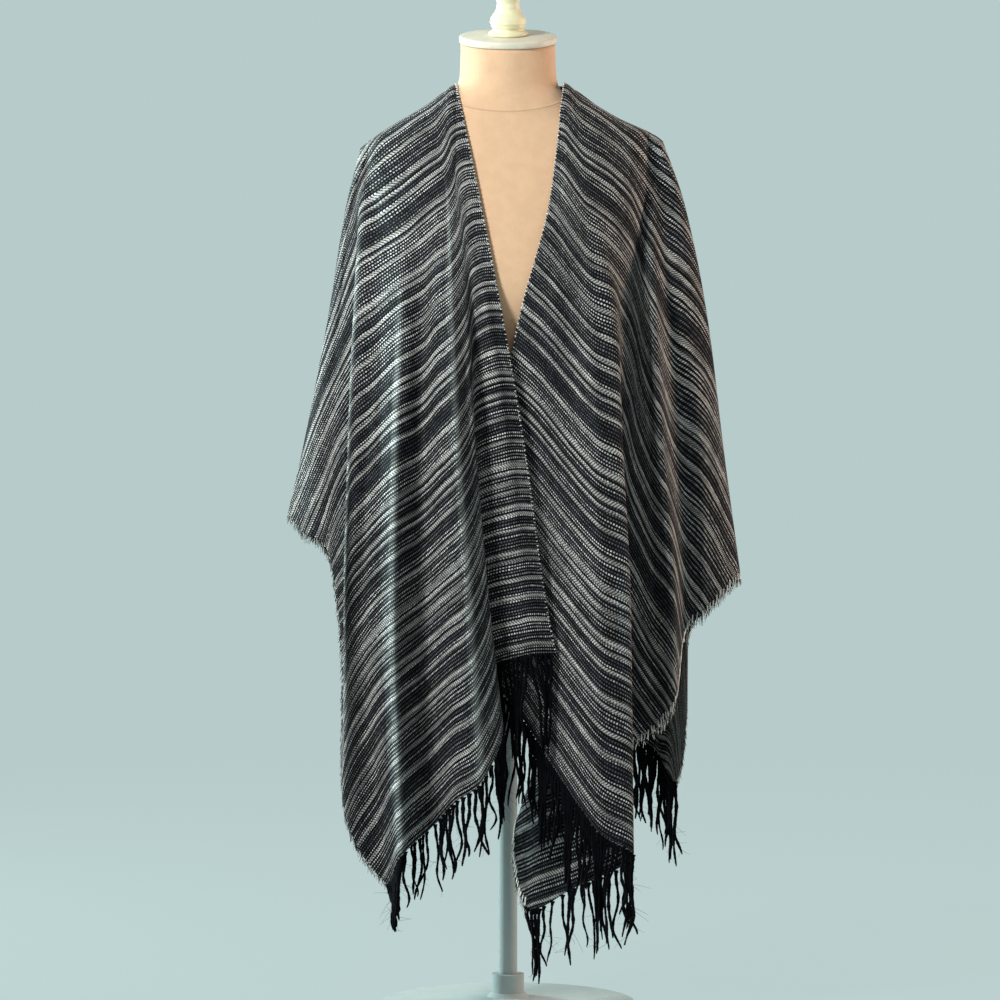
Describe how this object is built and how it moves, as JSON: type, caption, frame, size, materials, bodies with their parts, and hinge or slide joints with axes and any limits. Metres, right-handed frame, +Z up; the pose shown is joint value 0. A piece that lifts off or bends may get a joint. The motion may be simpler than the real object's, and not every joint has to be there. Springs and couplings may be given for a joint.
{
  "type": "woven fringed cape worn on a limbless dress form with a stand",
  "caption": "Woven open-front cape with fringed hems, draped over a limbless dress form with a wooden neck cap, on a short pole and round base.",
  "frame": {"origin": "centre of the stand base's flat underside, on the floor", "axes": "+Z up along the stand's pole, the wearer's front faces -Y, the wearer's left is +X"},
  "size_m": [0.537, 0.3479, 1.2149],
  "materials": {
    "cape_cloth": "matte woven wool, black warp with grey and white weft stripes",
    "fringe_yarn": "matte twisted yarn",
    "form_linen": "plain matte linen",
    "pale_wood": "pale satin painted wood",
    "stand_paint": "plain grey satin paint on steel"
  },
  "bodies": {
    "root": {"front_left": "cape_cloth", "fringe_front_left": "fringe_yarn", "front_right": "cape_cloth", "fringe_front_right": "fringe_yarn", "back": "cape_cloth", "fringe_back": "fringe_yarn", "form_torso": "form_linen", "neck_cap": "pale_wood", "finial": "pale_wood", "stand_base": "stand_paint", "stand_pole": "stand_paint"}
  },
  "joints": []
}
